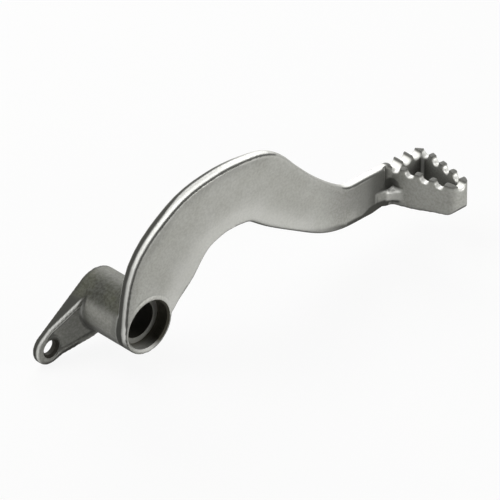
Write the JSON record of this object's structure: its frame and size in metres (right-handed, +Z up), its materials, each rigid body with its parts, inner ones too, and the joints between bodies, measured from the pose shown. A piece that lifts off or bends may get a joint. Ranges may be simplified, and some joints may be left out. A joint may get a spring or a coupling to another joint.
{
  "type": "motorbike rear brake pedal",
  "caption": "Forged light-alloy rear brake pedal with an S-shaped arm, a pivot boss with seal recesses, a push-rod lug and a toothed toe claw.",
  "frame": {"origin": "on the pivot axis, at mid length of the boss", "axes": "+X forward along the pedal to the toe claw, +Z up with the claw's tread level, Y along the pivot axis with the outer side of the bike at -Y"},
  "size_m": [0.2368, 0.076, 0.0934],
  "materials": {
    "alloy": "bead-blasted satin, machined in the bores"
  },
  "bodies": {
    "root": {"brake_pedal": "alloy"}
  },
  "joints": []
}
